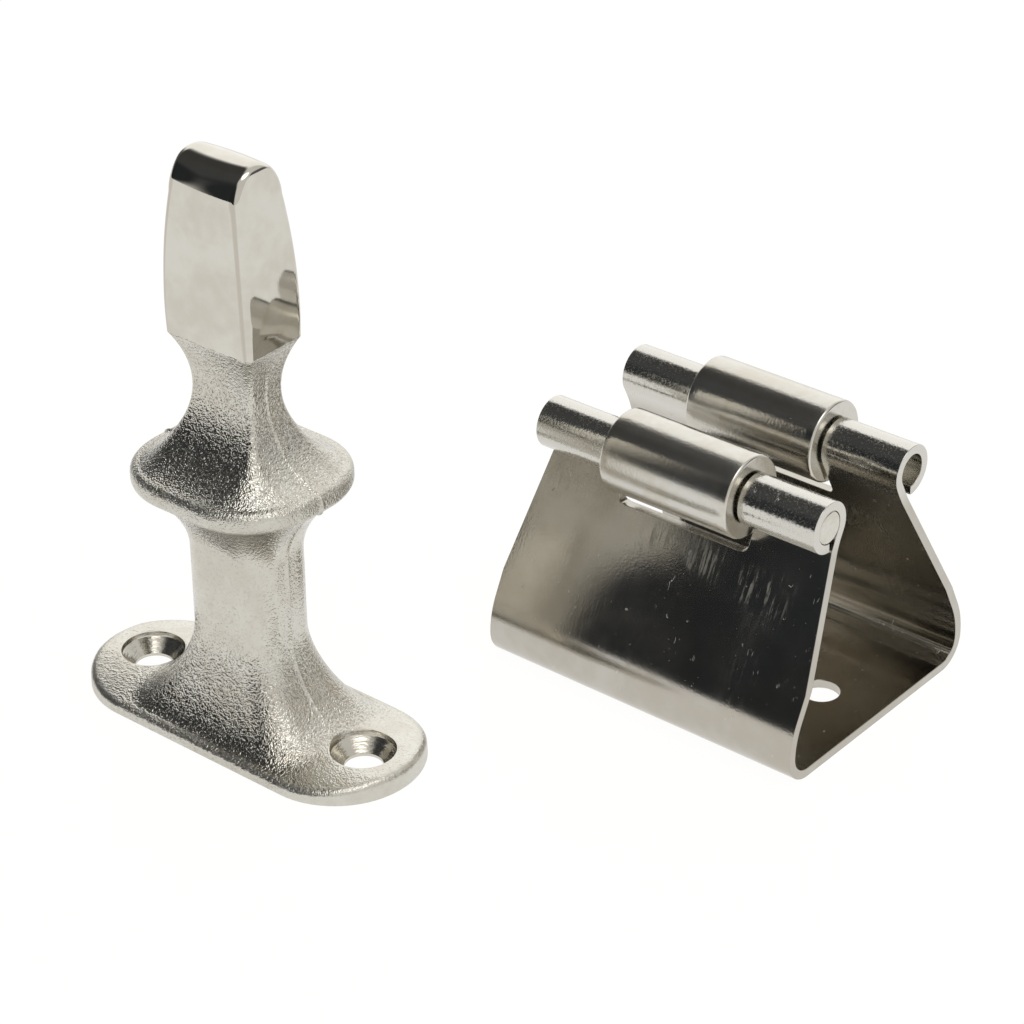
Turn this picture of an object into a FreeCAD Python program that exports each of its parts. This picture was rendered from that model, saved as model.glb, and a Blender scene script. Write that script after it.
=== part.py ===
import FreeCAD, Part
import math
import os

# Roller door holder: a cast strike post and a sprung sheet clip that carries two rollers.
# Millimetres. X runs along the rollers, Y across the mouth, Z up from the fixing face.
# The origin is the middle of the clip's underside.

# Spring clip sheet
sheet = 1.3                     # thickness of the clip sheet
base_length = 50.0              # clip along X
base_width = 40.0               # clip across Y, outside the bends
base_bend = 2.9                 # inside radius of the two lower bends
shoulder_bend = 10.7            # inside radius of the gentle bend above them
taper_height = 13.0             # the arms keep the full length up to here
clip_hole_spacing = 32.0
clip_hole_diameter = 5.2

# Pins, eyes and rollers
pin_diameter = 4.6
pin_length = 42.0
pin_height = 33.4               # pin axis above the fixing face
eye_length = 44.9               # over both eyes of an arm, along X
eye_end_angle = -92.0           # where the curl ends, degrees from +Y
roller_diameter = 11.5
roller_length = 20.4
roller_edge = 0.35              # chamfer on the roller's ends
pin_edge = 0.3                  # chamfer on the pin's ends
mouth_gap = 7.1                 # between the two rollers
roller_bore_clearance = 0.08    # radial, roller on pin
roller_end_clearance = 0.35     # roller end to eye
roller_floor_clearance = 1.9    # roller to the floor of its notch
notch_corner = 1.0

# Strike: fixing plate
strike_x = -40.3                # where the strike stands, from the clip
strike_y = -50.3
plate_length = 53.0
plate_width = 23.0
plate_thickness = 3.0
plate_edge = 1.3                # rounding of the plate's upper edge
strike_hole_spacing = 38.4
strike_hole_diameter = 5.2
screw_head_diameter = 8.6
screw_head_recess = 0.9         # straight part above the cone

# Strike: cast post, half sizes along X and Y of its rounded rectangular sections
flare_half = (15.8, 10.2)       # where the flare meets the plate
stem_half = (7.2, 5.4)
stem_corner = 3.7
flare_top = 15.0
stem_top = 26.5
collar_half = (13.9, 12.3)
collar_corner = 10.2
collar_edge = 1.3               # rounding of the collar's rim
collar_bottom = 36.0
collar_rim = 3.2                # height of the rim
collar_slope = 17.0             # degrees at which the neck's curve leaves the rim
neck_half = (5.3, 3.1)
neck_corner = 0.9
neck_height = 50.3
head_bottom = 57.5
head_bottom_half = (7.3, 5.1)
head_top_half = (6.0, 4.2)
head_bulge = 0.25               # how far the head's sides stand out at mid height
head_corner = 0.7
strike_height = 81.9
head_round = 5.1                # height of the rounded top

# Derived values
bend_outer = base_bend + sheet
flat_half = base_width / 2 - bend_outer
shoulder_outer = shoulder_bend + sheet
shoulder_y = base_width / 2 - shoulder_outer
pin_y = (mouth_gap + roller_diameter) / 2
eye_outer = pin_diameter / 2 + sheet
notch_half = roller_length / 2 + roller_end_clearance
notch_floor = pin_height - roller_diameter / 2 - roller_floor_clearance


def arm_lean():
    """Angle from upright of the straight that is tangent to the shoulder and to the eye."""
    across = pin_y - shoulder_y
    up = pin_height - bend_outer
    distance = math.hypot(across, up)
    return math.degrees(math.atan2(up, across) - math.acos((shoulder_bend + eye_outer) / distance))


def at_angle(centre_y, centre_z, radius, degrees):
    angle = math.radians(degrees)
    return FreeCAD.Vector(0, centre_y + radius * math.cos(angle), centre_z + radius * math.sin(angle))


def along_x(face, length):
    """Extrude a face drawn in the YZ plane, centred on X = 0."""
    face.translate(FreeCAD.Vector(-length / 2, 0, 0))
    return face.extrude(FreeCAD.Vector(length, 0, 0))


def bent_strip(centre_y, centre_z, inner, outer, first, last):
    """Face of a bend: a ring sector between two radii and two angles."""
    middle = (first + last) / 2
    outer_arc = Part.Arc(*[at_angle(centre_y, centre_z, outer, a) for a in (first, middle, last)])
    inner_arc = Part.Arc(*[at_angle(centre_y, centre_z, inner, a) for a in (last, middle, first)])
    edges = [
        outer_arc.toShape(),
        Part.makeLine(outer_arc.EndPoint, inner_arc.StartPoint),
        inner_arc.toShape(),
        Part.makeLine(inner_arc.EndPoint, outer_arc.StartPoint),
    ]
    return Part.Face(Part.Wire(edges))


def straight_strip(corners):
    return Part.Face(Part.makePolygon(corners + corners[:1]))


def side_outline():
    """The blank's outline seen along Y: full length below, tapering up to the eyes."""
    half, top_half = base_length / 2, eye_length / 2
    top = pin_height + eye_outer + 1
    points = [(-half, -1), (half, -1), (half, taper_height), (top_half, pin_height - eye_outer),
              (top_half, top), (-top_half, top), (-top_half, pin_height - eye_outer), (-half, taper_height)]
    corners = [FreeCAD.Vector(x, -base_width, z) for x, z in points]
    return straight_strip(corners).extrude(FreeCAD.Vector(0, 2 * base_width, 0))


def roller_notch():
    """The cut that lets the roller turn between the two eyes of an arm."""
    height = pin_height + eye_outer + 1 - notch_floor
    block = Part.makeBox(2 * notch_half, base_width, height + 1,
                         FreeCAD.Vector(-notch_half, 0, notch_floor))
    lower = [edge for edge in block.Edges
             if edge.BoundBox.ZMax < notch_floor + 0.01 and edge.BoundBox.YLength > 1]
    return block.makeFillet(notch_corner, lower)


def upright_cylinder(diameter, height, x, y, z):
    return Part.makeCylinder(diameter / 2, height, FreeCAD.Vector(x, y, z))


def clip_base():
    bottom = [FreeCAD.Vector(0, y, z)
              for y, z in ((-flat_half, 0), (flat_half, 0), (flat_half, sheet), (-flat_half, sheet))]
    solid = along_x(straight_strip(bottom), base_length)
    for first, last, side in ((-90, 0, 1), (-180, -90, -1)):
        bend = bent_strip(side * flat_half, bend_outer, base_bend, bend_outer, first, last)
        solid = solid.fuse(along_x(bend, base_length))
    for side in (-1, 1):
        x = side * clip_hole_spacing / 2
        solid = solid.cut(upright_cylinder(clip_hole_diameter, 3 * sheet, x, 0, -sheet))
    return solid.removeSplitter()


def rear_spring_arm():
    lean = arm_lean()
    shoulder = bent_strip(shoulder_y, bend_outer, shoulder_bend, shoulder_outer, 0, lean)
    eye = bent_strip(pin_y, pin_height, pin_diameter / 2, eye_outer, 180 + lean, eye_end_angle)
    panel = straight_strip([
        at_angle(shoulder_y, bend_outer, shoulder_bend, lean),
        at_angle(shoulder_y, bend_outer, shoulder_outer, lean),
        at_angle(pin_y, pin_height, pin_diameter / 2, 180 + lean),
        at_angle(pin_y, pin_height, eye_outer, 180 + lean),
    ])
    solid = along_x(shoulder, base_length)
    for face in (panel, eye):
        solid = solid.fuse(along_x(face, base_length))
    return solid.removeSplitter().common(side_outline()).cut(roller_notch())


def mirrored(solid):
    return solid.mirror(FreeCAD.Vector(0, 0, 0), FreeCAD.Vector(0, 1, 0))


def end_chamfer(solid, radius, size):
    """Chamfer the outer edges at both ends of a round bar that lies along X."""
    rims = [edge for edge in solid.Edges
            if hasattr(edge.Curve, "Radius") and abs(edge.Curve.Radius - radius) < 0.001
            and edge.BoundBox.XLength < 0.001]
    return solid.makeChamfer(size, rims)


def pin(side):
    """Each pin is pushed in from its own end until it is flush with the eye there."""
    x = -eye_length / 2 if side > 0 else eye_length / 2 - pin_length
    start = FreeCAD.Vector(x, side * pin_y, pin_height)
    rod = Part.makeCylinder(pin_diameter / 2, pin_length, start, FreeCAD.Vector(1, 0, 0))
    return end_chamfer(rod, pin_diameter / 2, pin_edge)


def roller(side):
    start = FreeCAD.Vector(-roller_length / 2, side * pin_y, pin_height)
    along = FreeCAD.Vector(1, 0, 0)
    sleeve = Part.makeCylinder(roller_diameter / 2, roller_length, start, along)
    bore_radius = pin_diameter / 2 + roller_bore_clearance
    sleeve = sleeve.cut(Part.makeCylinder(bore_radius, roller_length, start, along))
    return end_chamfer(sleeve, roller_diameter / 2, roller_edge)


def section(half_x, half_y, corner, z):
    """Closed outline of a rounded rectangle, centred on the post's axis, as eight edges."""
    corner = min(corner, 0.98 * min(half_x, half_y))
    edges = []
    previous = None
    first = None
    for turn, (sx, sy) in enumerate(((1, 1), (-1, 1), (-1, -1), (1, -1))):
        centre = FreeCAD.Vector(sx * (half_x - corner), sy * (half_y - corner), z)
        spots = []
        for step in (0, 45, 90):
            angle = math.radians(90 * turn + step)
            offset = FreeCAD.Vector(corner * math.cos(angle), corner * math.sin(angle), 0)
            spots.append(centre + offset)
        if previous:
            edges.append(Part.makeLine(previous, spots[0]))
        else:
            first = spots[0]
        edges.append(Part.Arc(*spots).toShape())
        previous = spots[2]
    edges.append(Part.makeLine(previous, first))
    return Part.Wire(edges)


def blend_between(low, high, share):
    return low + (high - low) * share


def post_piece(low, high, low_z, high_z, curve, steps=6):
    """Loft between two sections (half_x, half_y, corner), sizes following curve(0..1)."""
    wires = []
    for step in range(steps + 1):
        part_way = step / steps
        share = curve(part_way)
        sizes = [blend_between(a, b, share) for a, b in zip(low, high)]
        wires.append(section(*sizes, blend_between(low_z, high_z, part_way)))
    return Part.makeLoft(wires, True, False)


def sweep_in(part_way, slope=0.0):
    """Leaves the wide lower end at a slope in degrees, then runs upright into the narrow end."""
    start = math.sin(math.radians(slope))
    cosine = math.cos(math.radians(slope)) * (1 - part_way)
    return (math.sqrt(1 - cosine ** 2) - start) / (1 - start)


def sweep_from_collar(part_way):
    return sweep_in(part_way, collar_slope)


def sweep_out(part_way):
    """Leaves the narrow lower end upright, then opens into the wide end."""
    return part_way ** 2


def screw_hole(x):
    """Through hole with a cone and a short straight recess for a countersunk screw head."""
    through = upright_cylinder(strike_hole_diameter, 2 * plate_thickness, x, 0, -1)
    cone_depth = (screw_head_diameter - strike_hole_diameter) / 2
    cone_bottom = plate_thickness - screw_head_recess - cone_depth
    cone = Part.makeCone(strike_hole_diameter / 2, screw_head_diameter / 2, cone_depth,
                         FreeCAD.Vector(x, 0, cone_bottom))
    recess = upright_cylinder(screw_head_diameter, flare_top, x, 0, plate_thickness - screw_head_recess)
    return through.fuse([cone, recess])


def strike_plate():
    radius = plate_width / 2
    reach = plate_length / 2 - radius
    plate = Part.makeBox(2 * reach, plate_width, plate_thickness, FreeCAD.Vector(-reach, -radius, 0))
    for side in (-1, 1):
        plate = plate.fuse(upright_cylinder(plate_width, plate_thickness, side * reach, 0, 0))
    plate = plate.removeSplitter()
    rim = [edge for edge in plate.Edges if edge.BoundBox.ZMin > plate_thickness - 0.001]
    return plate.makeFillet(plate_edge, rim)


def collar():
    disc = Part.Face(section(*collar_half, collar_corner, collar_bottom))
    disc = disc.extrude(FreeCAD.Vector(0, 0, collar_rim))
    rims = [edge for edge in disc.Edges if edge.BoundBox.ZLength < 0.001]
    return disc.makeFillet(collar_edge, rims)


def head():
    """Truncated wedge with slightly bulging sides and a top rounded about X."""
    shoulder_height = strike_height - head_round
    middle = [blend_between(a, b, 0.5) + head_bulge for a, b in zip(head_bottom_half, head_top_half)]
    above = [b - (a - b) * 0.2 for a, b in zip(head_bottom_half, head_top_half)]
    middle_z = (head_bottom + shoulder_height) / 2
    wedge = Part.makeLoft([
        section(*head_bottom_half, head_corner, head_bottom),
        section(*middle, head_corner, middle_z),
        section(*head_top_half, head_corner, shoulder_height),
        section(*above, head_corner, strike_height + 1),
    ], True, False)
    reach = head_bottom_half[0] + 1
    side = head_bottom_half[1] + 1
    crown = head_top_half[1] + 0.05
    arch = Part.Arc(FreeCAD.Vector(-reach, crown, shoulder_height),
                    FreeCAD.Vector(-reach, 0, strike_height),
                    FreeCAD.Vector(-reach, -crown, shoulder_height)).toShape()
    corners = [(-crown, shoulder_height), (-side, shoulder_height), (-side, head_bottom - 1),
               (side, head_bottom - 1), (side, shoulder_height), (crown, shoulder_height)]
    outline = [FreeCAD.Vector(-reach, y, z) for y, z in corners]
    lines = [Part.makeLine(a, b) for a, b in zip(outline, outline[1:])]
    loaf = Part.Face(Part.Wire([arch] + lines)).extrude(FreeCAD.Vector(2 * reach, 0, 0))
    return wedge.common(loaf)


def strike():
    wide = [size - collar_edge for size in (*collar_half, collar_corner)]
    stem = (*stem_half, stem_corner)
    neck = (*neck_half, neck_corner)
    flare = (*flare_half, flare_half[1])
    crown = (*head_bottom_half, head_corner)
    rim_middle = collar_bottom + collar_rim / 2
    pieces = [
        collar(),
        post_piece(flare, stem, plate_thickness - plate_edge / 2, flare_top, sweep_in),
        post_piece(stem, stem, flare_top, stem_top, sweep_out, steps=1),
        post_piece(stem, wide, stem_top, collar_bottom + 0.2, sweep_out),
        post_piece(wide, wide, collar_bottom + 0.2, collar_bottom + collar_rim - 0.1, sweep_out, steps=1),
        post_piece(wide, neck, collar_bottom + collar_rim - 0.1, neck_height, sweep_from_collar),
        post_piece(neck, crown, neck_height, head_bottom, sweep_out),
        head(),
    ]
    solid = strike_plate().fuse(pieces)
    for side in (-1, 1):
        solid = solid.cut(screw_hole(side * strike_hole_spacing / 2))
    solid.translate(FreeCAD.Vector(strike_x, strike_y, 0))
    return solid


def export(name, shape):
    if not shape.isValid():
        raise ValueError(name + " is not a valid solid")
    solid = shape.Solids[0] if len(shape.Solids) == 1 else shape
    solid.exportStep("parts/" + name + ".step")
    box = solid.BoundBox
    print(name, len(shape.Solids), round(shape.Volume, 1),
          [round(v, 2) for v in (box.XMin, box.XMax, box.YMin, box.YMax, box.ZMin, box.ZMax)])


def main():
    os.makedirs("parts", exist_ok=True)
    rear_arm = rear_spring_arm()
    export("strike", strike())
    export("clip_base", clip_base())
    export("rear_spring_arm", rear_arm)
    export("front_spring_arm", mirrored(rear_arm))
    for name, side in (("front", -1), ("rear", 1)):
        export(name + "_pin", pin(side))
        export(name + "_roller", roller(side))
    print("arm lean", round(arm_lean(), 2))


main()
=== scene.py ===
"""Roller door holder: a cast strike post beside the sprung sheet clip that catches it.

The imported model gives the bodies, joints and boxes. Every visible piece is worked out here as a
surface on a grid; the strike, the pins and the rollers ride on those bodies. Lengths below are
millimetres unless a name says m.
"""
import math
import bmesh
import bpy
import numpy as np
from mathutils import Matrix


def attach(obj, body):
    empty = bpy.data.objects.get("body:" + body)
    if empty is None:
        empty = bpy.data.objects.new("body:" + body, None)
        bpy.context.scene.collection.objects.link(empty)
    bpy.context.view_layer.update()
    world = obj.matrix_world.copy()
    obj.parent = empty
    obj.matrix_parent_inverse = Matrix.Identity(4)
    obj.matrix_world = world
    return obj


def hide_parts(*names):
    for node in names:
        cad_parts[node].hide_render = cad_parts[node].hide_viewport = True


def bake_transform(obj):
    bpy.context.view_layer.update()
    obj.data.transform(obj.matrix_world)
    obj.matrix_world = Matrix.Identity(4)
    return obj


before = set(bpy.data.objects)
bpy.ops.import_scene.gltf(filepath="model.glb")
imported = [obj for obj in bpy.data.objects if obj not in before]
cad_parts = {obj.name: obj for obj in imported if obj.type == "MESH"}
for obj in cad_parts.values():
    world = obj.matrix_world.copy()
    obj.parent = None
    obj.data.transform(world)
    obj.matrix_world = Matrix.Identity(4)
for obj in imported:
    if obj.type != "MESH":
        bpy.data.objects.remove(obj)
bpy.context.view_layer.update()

MM = 0.001
WELD_M = 1e-7  # points closer than this, in metres, are merged
NO_LENGTH_M = 1e-8
TINY = 1e-9  # keeps a division away from zero

# Clip sheet
SHEET = 1.3
BASE_LENGTH = 50.0
BASE_WIDTH = 40.0
BASE_BEND = 2.9  # inside radius
SHOULDER_BEND = 10.7  # inside radius
TAPER_HEIGHT = 13.0
HOLE_SPACING = 32.0
HOLE_RADIUS = 2.6
EYE_END_ANGLE = -92.0
HOLE_SQUARE = 4  # half side of the square of sheet round a hole
EDGE_BREAK = 0.1  # bevel along the cut edges

# Pins and rollers
PIN_RADIUS = 2.3
PIN_LENGTH = 42.0
PIN_HEIGHT = 33.4
PIN_EDGE = 0.3
EYE_LENGTH = 44.9
ROLLER_RADIUS = 5.75
ROLLER_LENGTH = 20.4
ROLLER_EDGE = 0.35
BORE_RADIUS = 2.38
BORE_LEAD_IN = 0.3
PIN_SHRINK = 0.01  # keeps the rod's surface just under the eye's
MOUTH_GAP = 7.1
NOTCH_SIDE_GAP = 0.35
NOTCH_FLOOR_GAP = 1.9
NOTCH_CORNER = 1.0

# Strike
STRIKE_X = -40.3
STRIKE_Y = -50.3
PLATE_HALF = (26.5, 11.5)
PLATE_THICKNESS = 3.0
PLATE_EDGE = 0.95  # rounding of the plate's upper rim
PLATE_FOOT = 0.35  # rounding of its lower rim
STRIKE_HOLE_SPACING = 38.4
STRIKE_HOLE_RADIUS = 2.6
SEAT_RADIUS = 4.3
SEAT_RECESS = 0.9
STRIKE_HEIGHT = 81.9
HEAD_BOTTOM = 57.5
HEAD_SHOULDER = 76.8

# Derived places
BEND_OUTER = BASE_BEND + SHEET
SHOULDER_OUTER = SHOULDER_BEND + SHEET
FLAT_HALF = BASE_WIDTH / 2 - BEND_OUTER
SHOULDER_Y = BASE_WIDTH / 2 - SHOULDER_OUTER
PIN_Y = MOUTH_GAP / 2 + ROLLER_RADIUS
EYE_OUTER = PIN_RADIUS + SHEET
NOTCH_HALF = ROLLER_LENGTH / 2 + NOTCH_SIDE_GAP
NOTCH_FLOOR = PIN_HEIGHT - ROLLER_RADIUS - NOTCH_FLOOR_GAP


# ---- meshes

def finish_mesh(name, points, faces, smooth_angle=35.0, material_numbers=None):
    """Object from points in millimetres and faces, doubles merged and normals turned outwards."""
    mesh = bpy.data.meshes.new(name)
    mesh.from_pydata(np.asarray(points, float).reshape(-1, 3) * MM, [], np.asarray(faces).tolist())
    if material_numbers is not None:
        mesh.polygons.foreach_set("material_index", material_numbers)
    work = bmesh.new()
    work.from_mesh(mesh)
    bmesh.ops.remove_doubles(work, verts=work.verts, dist=WELD_M)
    bmesh.ops.dissolve_degenerate(work, dist=NO_LENGTH_M, edges=work.edges)
    bmesh.ops.recalc_face_normals(work, faces=work.faces)
    work.to_mesh(mesh)
    work.free()
    piece = bpy.data.objects.new(name, mesh)
    bpy.context.scene.collection.objects.link(piece)
    smooth(piece, smooth_angle)
    return piece


def smooth(piece, smooth_angle):
    """Shades smooth, with sharp edges where two faces meet at more than the angle in degrees."""
    piece.data.shade_smooth()
    piece.data.set_sharp_from_angle(angle=math.radians(smooth_angle))


def grid_faces(rows, columns, closed_rows=False, closed_columns=False):
    """Corner numbers of the quads of a grid, wrapping round where it is closed."""
    row = np.arange(rows if closed_rows else rows - 1)[:, None]
    column = np.arange(columns if closed_columns else columns - 1)[None, :]
    below, above = row, (row + 1) % rows
    left, right = column, (column + 1) % columns
    quads = [below * columns + left, below * columns + right,
             above * columns + right, above * columns + left]
    return np.stack(np.broadcast_arrays(*quads), axis=-1).reshape(-1, 4)


def applied(piece):
    """Bakes the piece's modifiers into its mesh."""
    seen = piece.evaluated_get(bpy.context.evaluated_depsgraph_get())
    mesh = bpy.data.meshes.new_from_object(seen)
    piece.modifiers.clear()
    piece.data = mesh


def revolved(name, profile, centre_y, centre_z, columns=96, closed=False, axis="X", centre_x=0.0):
    """Surface of revolution: each profile point (along, radius) turned through a full circle."""
    along, radius = np.asarray(profile, float).T
    turn = np.linspace(0, 2 * math.pi, columns, endpoint=False)[None, :]
    across = radius[:, None] * np.cos(turn)
    upward = radius[:, None] * np.sin(turn)
    level = np.broadcast_to(along[:, None], across.shape)
    if axis == "X":
        points = np.stack([level + centre_x, across + centre_y, upward + centre_z], axis=-1)
    else:
        points = np.stack([across + centre_x, upward + centre_y, level + centre_z], axis=-1)
    return finish_mesh(name, points, grid_faces(len(along), columns, closed, True))


def rounded_corner(along, radius, size, start, stop, steps=5):
    """Quarter circle of a profile, of the given size, about a centre, between two angles."""
    turn = np.radians(np.linspace(start, stop, steps))
    return list(zip(along + size * np.cos(turn), radius + size * np.sin(turn)))


# ---- strike

QUARTER_COLUMNS = 64
CORNER_SHARE = 0.3  # least share of a quarter's columns that a corner gets


def rounded_rectangle(half_x, half_y, corner):
    """Closed outlines of rounded rectangles, one per row.

    A quarter runs up the +X side, round the corner's quarter circle and back along the +Y side;
    the other quarters are its reflections. Columns are shared out by length, except that a
    small corner still gets its least share.
    """
    half_x, half_y, corner = (np.asarray(v, float)[:, None] for v in (half_x, half_y, corner))
    step = np.arange(4 * QUARTER_COLUMNS)[None, :] / QUARTER_COLUMNS
    share = 1 - np.abs(1 - step % 2)
    sign_x = np.where((step > 1) & (step < 3), -1, 1)
    sign_y = np.where(step > 2, -1, 1)
    rise = half_y - corner
    run = half_x - corner
    bend = corner * math.pi / 2
    bend_share = np.maximum(bend, CORNER_SHARE * (rise + run + bend))
    total = rise + run + bend_share
    first = rise / total
    second = (rise + bend_share) / total
    up = np.clip(share / np.maximum(first, TINY), 0, 1)
    turn = np.clip((share - first) / np.maximum(second - first, TINY), 0, 1) * math.pi / 2
    back = np.clip((share - second) / np.maximum(1 - second, TINY), 0, 1)
    x = half_x - corner + corner * np.cos(turn) - run * back
    y = rise * up + corner * np.sin(turn)
    return x * sign_x, y * sign_y


def stretch(low, high, low_z, high_z, share, height, corner_share=None):
    """Rows (half x, half y, corner, z): sizes go from low to high by share, z by height."""
    share = np.asarray(share)
    corner_share = share if corner_share is None else corner_share
    shares = np.stack([share, share, corner_share], axis=1)
    sizes = np.asarray(low) + (np.asarray(high) - np.asarray(low)) * shares
    z = low_z + (high_z - low_z) * np.asarray(height)[:, None]
    return np.hstack([sizes, z])


def quarter(rows):
    """Angles of a quarter turn in equal steps."""
    return np.linspace(0, math.pi / 2, rows)


def plate_rows():
    """From the middle of the underside out to the rim, up the wall and over its rounded edge."""
    half_x, half_y = PLATE_HALF
    foot, edge = PLATE_FOOT, PLATE_EDGE
    ring = 8  # how far in from the rim the underside's inner row lies
    inner = [(0.02, 0.01, 0.005, 0), (half_x - ring, half_y - ring, half_y - ring, 0),
             (half_x - foot, half_y - foot, half_y - foot, 0)]
    turn = quarter(4)[1:]
    out = foot * (1 - np.sin(turn))
    lower = np.stack([half_x - out, half_y - out, half_y - out, foot * (1 - np.cos(turn))], axis=1)
    level = np.linspace(foot, PLATE_THICKNESS - edge, 5)[1:]
    wall = np.stack([np.full_like(level, half_x), np.full_like(level, half_y),
                     np.full_like(level, half_y), level], axis=1)
    turn = quarter(EDGE_ROWS)[1:]
    into = edge * (1 - np.cos(turn))
    upper = np.stack([half_x - into, half_y - into, half_y - into,
                      PLATE_THICKNESS - edge + edge * np.sin(turn)], axis=1)
    return np.vstack([inner, lower, wall, upper])


STEM = (7.2, 5.4, 3.7)
FLARE_FOOT = (15.7, 10.4, 4.6)
FLARE_HOLLOW = 1.2  # above 1 the flare is flatter in the middle than a quarter circle
FLARE_TOP = 15.0
STEM_TOP = 26.5
COLLAR = (13.9, 12.3, 10.2)
COLLAR_EDGE = 1.3
COLLAR_BOTTOM = 36.0
COLLAR_RIM = 3.2
COLLAR_SLOPE = 17.0  # degrees at which the neck's curve leaves the rim
NECK = (5.3, 3.1, 0.9)
NECK_HEIGHT = 50.3
HEAD_LOW = (7.3, 5.1, 1.1)
HEAD_HIGH = (6.0, 4.2, 0.8)
HEAD_BULGE = 0.4
CROWN_EDGE = 1.0  # rounding between the crown and the head's two ends

# Rows of the casting's grid along each part of its profile
STRAIGHT_ROWS = 13
CURVE_ROWS = 30
UNDER_COLLAR_ROWS = 25
EDGE_ROWS = 9
HEAD_ROWS = 22


def post_rows():
    """Sections from the plate's rim to the crown.

    The flare follows a quarter of an ellipse flattened by its power, the neck the part of one
    past the collar's slope, both undersides a parabola and the collar's rim two quarter circles.
    """
    rim = PLATE_HALF[0] - PLATE_EDGE, PLATE_HALF[1] - PLATE_EDGE, PLATE_HALF[1] - PLATE_EDGE
    even = np.linspace(0, 1, STRAIGHT_ROWS)[1:]
    turn = quarter(CURVE_ROWS)[1:]
    flat = stretch(rim, FLARE_FOOT, PLATE_THICKNESS, PLATE_THICKNESS, even, even)
    flare = stretch(FLARE_FOOT, STEM, PLATE_THICKNESS, FLARE_TOP,
                    np.sin(turn) ** FLARE_HOLLOW, 1 - np.cos(turn) ** FLARE_HOLLOW)
    stem = stretch(STEM, STEM, FLARE_TOP, STEM_TOP, even, even)
    inner = np.array(COLLAR) - COLLAR_EDGE
    way = np.linspace(0, 1, UNDER_COLLAR_ROWS)[1:]
    under = stretch(STEM, inner, STEM_TOP, COLLAR_BOTTOM, way ** 2, way)
    bend = quarter(EDGE_ROWS)[1:]
    top = COLLAR_BOTTOM + COLLAR_RIM
    low = stretch(inner, COLLAR, COLLAR_BOTTOM, COLLAR_BOTTOM + COLLAR_EDGE,
                  np.sin(bend), 1 - np.cos(bend))
    high = stretch(COLLAR, inner, top - COLLAR_EDGE, top, 1 - np.cos(bend), np.sin(bend))
    slope = math.radians(COLLAR_SLOPE)
    turn = np.linspace(slope, math.pi / 2, CURVE_ROWS)[1:]
    inward = (np.sin(turn) - math.sin(slope)) / (1 - math.sin(slope))
    neck = stretch(inner, NECK, top, NECK_HEIGHT, inward, 1 - np.cos(turn) / math.cos(slope),
                   1 - (1 - inward) ** 2)
    under_head = stretch(NECK, HEAD_LOW, NECK_HEIGHT, HEAD_BOTTOM, even ** 2, even)
    return np.vstack([flat, flare, stem, under, low, high, neck, under_head, head_rows()])


def head_rows():
    """Tapering sides that stand out by a parabola, then a crown that is half an ellipse about X."""
    way = np.array([0.006, 0.02, 0.05, *np.linspace(0.1, 1, HEAD_ROWS)])
    sides = stretch(HEAD_LOW, HEAD_HIGH, HEAD_BOTTOM, HEAD_SHOULDER, way, way)
    sides[:, :2] += (HEAD_BULGE * 4 * way * (1 - way))[:, None]
    radius = HEAD_HIGH[1]
    turn = quarter(HEAD_ROWS)[1:]
    rise = (STRIKE_HEIGHT - HEAD_SHOULDER) * np.sin(turn)
    half_y = radius * np.cos(turn)
    slope = (HEAD_LOW[0] - HEAD_HIGH[0]) / (HEAD_SHOULDER - HEAD_BOTTOM)
    half_x = HEAD_HIGH[0] - slope * rise
    over = np.clip(rise - (STRIKE_HEIGHT - HEAD_SHOULDER - CROWN_EDGE), 0, CROWN_EDGE)
    half_x = half_x - CROWN_EDGE + np.sqrt(CROWN_EDGE ** 2 - over ** 2)
    corner = np.minimum(HEAD_HIGH[2], half_y)
    crown = np.stack([half_x, half_y, corner, HEAD_SHOULDER + rise], axis=1)
    return np.vstack([sides, crown])


def grid_normals(points):
    """Unit normals of a grid closed along its columns, from the cross product of its two steps."""
    along = np.roll(points, -1, axis=1) - np.roll(points, 1, axis=1)
    up = np.gradient(points, axis=0)
    normal = np.cross(along, up)
    return normal / np.maximum(np.linalg.norm(normal, axis=-1, keepdims=True), 1e-12)


def waves(points, lengths, seed):
    """Sum of a few slanting sine waves of the given lengths, from -1 to 1."""
    rng = np.random.default_rng(seed)
    total = np.zeros(points.shape[:-1])
    for length in lengths:
        heading = rng.normal(size=3)
        heading *= 2 * math.pi / length / np.linalg.norm(heading)
        total += np.sin(points @ heading + rng.uniform(0, 2 * math.pi))
    return total / len(lengths)


BROAD_BOW = 0.12  # how far the head's broad faces stand out in the middle
CROWN_BOW = 0.3  # what the broad faces gain towards the crown
NARROW_BOW = 0.14
BOW_START = 3  # height over which the bow grows above the head's bottom
CROWN_ONSET = 9  # height over which it gains below the shoulder
THIN = 0.3  # least half width to divide by


def cambered(x, y, rows):
    """The head's faces bow in plan: each stands out by a parabola across its width."""
    half_x, half_y, z = rows[:, 0:1], rows[:, 1:2], rows[:, 3:4]
    on_head = np.clip((z - HEAD_BOTTOM) / BOW_START, 0, 1)
    crown = np.clip((z - HEAD_SHOULDER + CROWN_ONSET) / CROWN_ONSET, 0, 1)
    across_x = np.clip(1 - (x / half_x) ** 2, 0, 1)
    across_y = np.clip(1 - (y / np.maximum(half_y, THIN)) ** 2, 0, 1)
    bow_y = (BROAD_BOW + CROWN_BOW * crown) * across_x * np.clip(half_y / 2, 0, 1)
    bow_x = NARROW_BOW * across_y * np.clip(half_y / 2, 0, 1)
    side_y = np.clip(np.abs(y) / np.maximum(half_y, THIN), 0, 1) ** 4
    side_x = np.clip(np.abs(x) / half_x, 0, 1) ** 8
    return x + on_head * bow_x * side_x * np.sign(x), y + on_head * bow_y * side_y * np.sign(y)


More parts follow.
